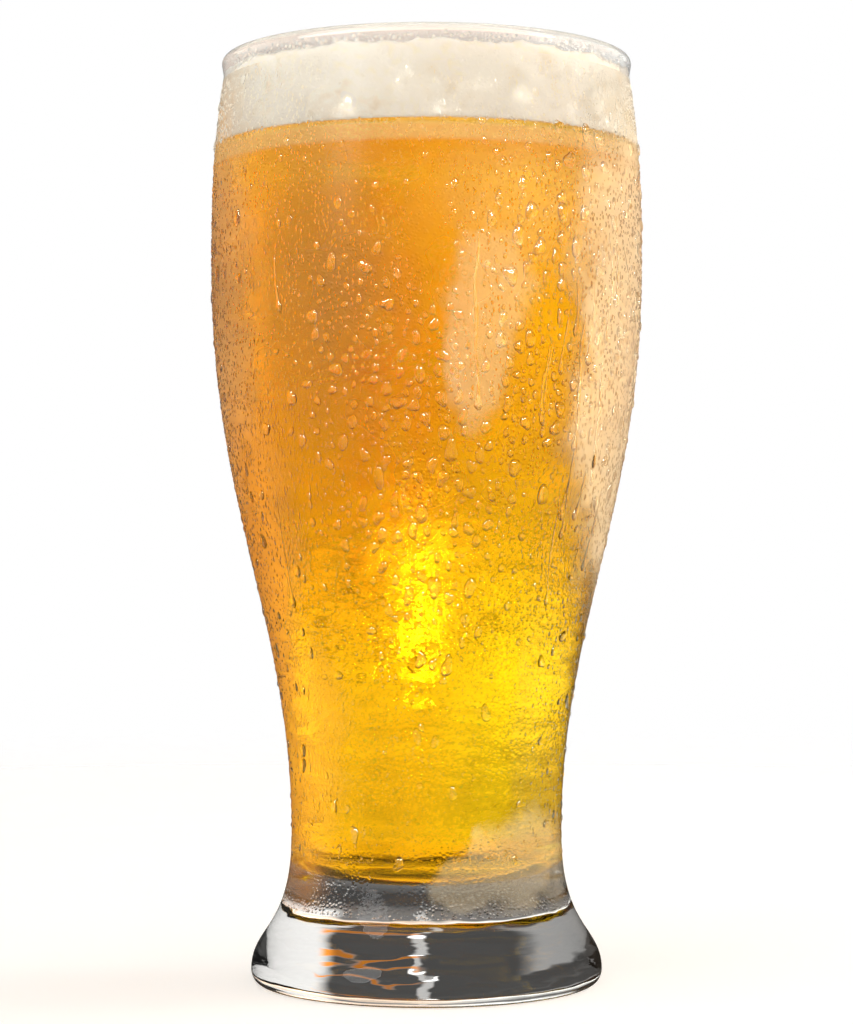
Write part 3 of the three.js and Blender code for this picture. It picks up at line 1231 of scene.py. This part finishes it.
class PINT_OT_stage(bpy.types.Operator):
    """Sets the floor, the light and the camera."""

    bl_idname = "pint.stage"
    bl_label = "Stage"

    def execute(self, context):
        self.lay_floor()
        self.light_world(context.scene)
        self.hang_lights()
        self.place_camera(context.scene)
        return {"FINISHED"}

    def lay_floor(self):
        bpy.ops.object.select_all(action="DESELECT")
        bpy.ops.mesh.primitive_circle_add(vertices=96, radius=0.8, fill_type="NGON")
        floor = bpy.context.object
        floor.name = "floor"
        floor.data.materials.append(pale_floor())
        floor.visible_transmission = False
        floor.visible_glossy = False

    def light_world(self, scene):
        """A pale backdrop for the camera, a bright room for the beer and dark cards for the foot."""
        world = bpy.data.worlds.new("studio")
        scene.world = world
        world.use_nodes = True
        world.cycles.sampling_method = "NONE"
        tree = world.node_tree
        tree.nodes.clear()
        direction = add_node(tree, "ShaderNodeTexCoord").outputs["Generated"]
        parts = add_node(tree, "ShaderNodeSeparateXYZ", Vector=direction).outputs
        up = parts["Z"]
        side = math_node(tree, "ARCTAN2", parts["X"], parts["Y"])
        rays = add_node(tree, "ShaderNodeLightPath").outputs
        mirror = times(tree, rays["Is Glossy Ray"], rays["Is Reflection Ray"])
        room = self.beer_light(tree, direction, side, up)
        room = times(tree, room, fade(tree, mirror, 0.95))
        cards, card_colour = self.foot_light(tree, direction, side, up)
        once = math_node(tree, "COMPARE", rays["Transmission Depth"], 1.5, 1.0)
        clean = math_node(tree, "SUBTRACT", 1.0, rays["Diffuse Depth"], clamp=True)
        bounced = math_node(tree, "MINIMUM", rays["Glossy Depth"], 1.0)
        in_foot = math_node(tree, "MAXIMUM", bounced, remap(tree, up, -0.16, -0.08, 1.0, 0.0))
        through_glass = times(tree, times(tree, once, clean), in_foot)
        strength = blend_values(tree, through_glass, room, cards)
        warm_side = remap(tree, side, math.radians(-15.0), math.radians(5.0))
        room_colour = blend_colours(tree, warm_side, (1.0, 0.99, 0.94, 1.0), (1.0, 0.79, 0.62, 1.0))
        floor_glow = remap(tree, up, -0.35, -0.15, 1.0, 0.0)
        room_colour = blend_colours(tree, floor_glow, room_colour, (1.0, 0.72, 0.45, 1.0))
        tint = blend_colours(tree, through_glass, room_colour, card_colour)
        seen = rays["Is Camera Ray"]
        sky = add_node(
            tree,
            "ShaderNodeBackground",
            Color=blend_colours(tree, seen, tint, tuple(scene.pint_stage.backdrop_colour)),
            Strength=blend_values(tree, seen, strength, 1.0),
        )
        output = tree.nodes.new("ShaderNodeOutputWorld")
        tree.links.new(sky.outputs[0], output.inputs["Surface"])

    def beer_light(self, tree, direction, side, up):
        """Brightness of the room by direction, as the beer and the froth meet it."""
        blotches = noise(tree, direction, 3.4, 2.0, 0.5)
        uneven = remap(tree, blotches.outputs[0], 0.3, 0.7, 0.8, 1.2)
        level = remap(tree, up, -0.9, -0.5, 0.1, 1.1)
        for low, high, gain in ((-0.2, -0.1, -0.25), (-0.06, 0.05, 0.45)):
            level = plus(tree, level, remap(tree, up, low, high, 0.0, gain))
        level = times(tree, level, uneven)
        behind = band(tree, side, -75.0, 75.0, 20.0)
        lofty = remap(tree, up, 0.2, 0.3)
        level = times(tree, level, fade(tree, times(tree, behind, lofty), 0.88))
        level = times(tree, level, fade(tree, remap(tree, up, 0.4, 0.65), 0.5))
        shade = times(tree, band(tree, side, 9.0, 26.0, 4.0), remap(tree, up, 0.06, 0.11))
        level = times(tree, level, fade(tree, shade, 0.15))
        below = remap(tree, up, 0.02, 0.07, 1.0, 0.0)
        low_right = times(tree, band(tree, side, -60.0, -18.0, 4.0), below)
        level = times(tree, level, fade(tree, low_right, 0.35))
        right = times(tree, band(tree, side, -34.0, -6.0, 5.0), remap(tree, up, 0.07, 0.12))
        level = times(tree, level, fade(tree, right, -0.22))
        for first, last, gain in ((26.0, 64.0, 0.6), (-64.0, -34.0, 0.3)):
            level = times(tree, level, fade(tree, band(tree, side, first, last, 6.0), -gain))
        wide, narrow = (band(tree, side, -a, a, 12.0) for a in (115.0, 60.0))
        flanks = math_node(tree, "SUBTRACT", wide, narrow)
        return times(tree, level, fade(tree, flanks, -0.35))

    def foot_light(self, tree, direction, side, up):
        """Dark cards with white and orange gaps, as clear glass without beer in it meets them."""
        waves = noise(tree, direction, 3.0, 2.0, 0.6)
        sway = math_node(tree, "SUBTRACT", waves.outputs[0], 0.5)
        wavy_side = math_node(tree, "MULTIPLY_ADD", sway, 0.35, side)
        wavy_up = math_node(tree, "MULTIPLY_ADD", sway, 0.06, up)
        low = remap(tree, up, -0.75, -0.3, 0.06, 0.2)
        total = plus(tree, low, remap(tree, up, -0.2, -0.02, 0.0, -0.13))
        all_heights = (-24.0, 40.0, 4.0)
        # degrees across and degrees up, each with its softness, and the light that comes through
        gaps = (
            ((24.0, 95.0, 4.0), all_heights, 0.95),
            ((-95.0, -20.0, 6.0), (5.0, 30.0, 2.5), 0.3),
            ((-1.2, 1.2, 0.6), all_heights, 0.5),
            ((-1.6, 1.6, 0.8), (10.2, 11.4, 0.7), 3.0),
            ((-1.6, 1.6, 0.8), (3.0, 4.0, 0.6), 3.0),
        )
        for across, rise, light in gaps:
            gap = times(tree, band(tree, wavy_side, *across), band(tree, up, *rise))
            total = plus(tree, total, times(tree, gap, light))
        lines = 0.0
        for across, rise in (((1.0, 25.0, 2.0), (12.0, 14.5, 0.6)), ((1.0, 26.0, 2.0), (1.2, 2.4, 0.4))):
            line = times(tree, band(tree, side, *across), band(tree, wavy_up, *rise))
            lines = math_node(tree, "MAXIMUM", line, lines)
        total = plus(tree, total, times(tree, lines, 0.4))
        return total, blend_colours(tree, lines, (1.0, 0.98, 0.95, 1.0), (1.0, 0.34, 0.05, 1.0))

    def hang_lights(self):
        """Soft boxes, a small sun behind the beer, and catch lights that only the larger drops see."""
        sun = (0.030, 1.5, 0.253)
        # name, place, height aimed at, size, spread in degrees, power, colour
        lights = (
            ("sun_behind", sun, 0.067, (0.022, 0.042), 1.2, 0.0005, (1.0, 0.93, 0.80)),
            ("box_right", (1.0, 0.25, 0.35), 0.09, (0.5, 0.8), 180.0, 6.0, (1.0, 0.99, 0.97)),
            ("box_above", (0.2, 0.1, 1.2), 0.09, (1.0, 1.0), 180.0, 2.5, (1.0, 0.99, 0.97)),
            ("box_front_left", (-0.9, -0.9, 0.7), 0.09, (0.6, 0.9), 180.0, 2.4, (1.0, 1.0, 1.0)),
            ("sun_core", sun, 0.067, (0.008, 0.014), 1.2, 0.0008, (1.0, 0.93, 0.80)),
            ("spark_right", (0.55, -0.75, 0.75), 0.11, (0.6, 0.6), 180.0, 50.0, (1.0, 0.97, 0.88)),
            ("spark_left", (-0.5, -0.7, 0.85), 0.11, (0.6, 0.6), 180.0, 50.0, (1.0, 0.95, 0.82)),
        )
        wet = bpy.data.collections.new("wet")
        for name in ("water_runs", "large_drops", "middle_drops_a", "middle_drops_b"):
            wet.objects.link(bpy.data.objects[name])
        for name, place, aim_height, size, spread, power, tint in lights:
            lamp = bpy.data.lights.new(name, "AREA")
            lamp.shape = "ELLIPSE"
            lamp.size, lamp.size_y = size
            lamp.spread = math.radians(spread)
            lamp.energy = power
            lamp.color = tint
            hung = bpy.data.objects.new(name, lamp)
            hung.location = place
            aim = Vector((0.0, 0.0, aim_height)) - hung.location
            hung.rotation_euler = aim.to_track_quat("-Z", "Y").to_euler()
            hung.visible_camera = False
            hung.visible_transmission = name.startswith("sun")
            if name.startswith("spark"):
                hung.visible_diffuse = False
                hung.light_linking.receiver_collection = wet
            hung.visible_glossy = name != "box_right"
            bpy.context.collection.objects.link(hung)

    def place_camera(self, scene):
        settings = scene.pint_stage
        lens = bpy.data.cameras.new("camera")
        lens.lens = settings.lens
        lens.sensor_width = 36.0
        camera = bpy.data.objects.new("camera", lens)
        camera.location = (0.0, -settings.camera_distance, settings.camera_height)
        camera.rotation_euler = (math.pi / 2 + settings.camera_tilt, 0.0, 0.0)
        bpy.context.collection.objects.link(camera)
        scene.camera = camera
        scene.view_settings.view_transform = "Standard"
        scene.cycles.max_bounces = 16
        scene.cycles.transmission_bounces = 16
        scene.cycles.transparent_max_bounces = 12
        scene.cycles.sample_clamp_indirect = 30.0
        scene.cycles.adaptive_threshold = 0.15


class PINT_PT_panel(bpy.types.Panel):
    """Lists the pieces of the pint."""

    bl_idname = "PINT_PT_panel"
    bl_label = "Pint of beer"
    bl_space_type = "VIEW_3D"
    bl_region_type = "UI"
    bl_category = "Pint"

    def draw(self, context):
        for operator in OPERATORS:
            self.layout.operator(operator.bl_idname)


GROUPS = {
    "pint_glass": PintGlassSettings,
    "pint_drink": PintDrinkSettings,
    "pint_water": PintWaterSettings,
    "pint_stage": PintStageSettings,
}
OPERATORS = (
    PINT_OT_glass,
    PINT_OT_beer,
    PINT_OT_foam,
    PINT_OT_froth,
    PINT_OT_bubbles,
    PINT_OT_drops,
    PINT_OT_stage,
)
CLASSES = (*GROUPS.values(), *OPERATORS, PINT_PT_panel)


def register():
    for made in CLASSES:
        bpy.utils.register_class(made)
    for name, group in GROUPS.items():
        setattr(bpy.types.Scene, name, PointerProperty(type=group))


def unregister():
    for name in GROUPS:
        delattr(bpy.types.Scene, name)
    for made in reversed(CLASSES):
        bpy.utils.unregister_class(made)


def main():
    register()
    bpy.ops.pint.glass()
    bpy.ops.pint.beer()
    bpy.ops.pint.foam()
    bpy.ops.pint.froth()
    bpy.ops.pint.bubbles()
    bpy.ops.pint.drops()
    bpy.ops.pint.stage()


if __name__ == "__main__":
    main()
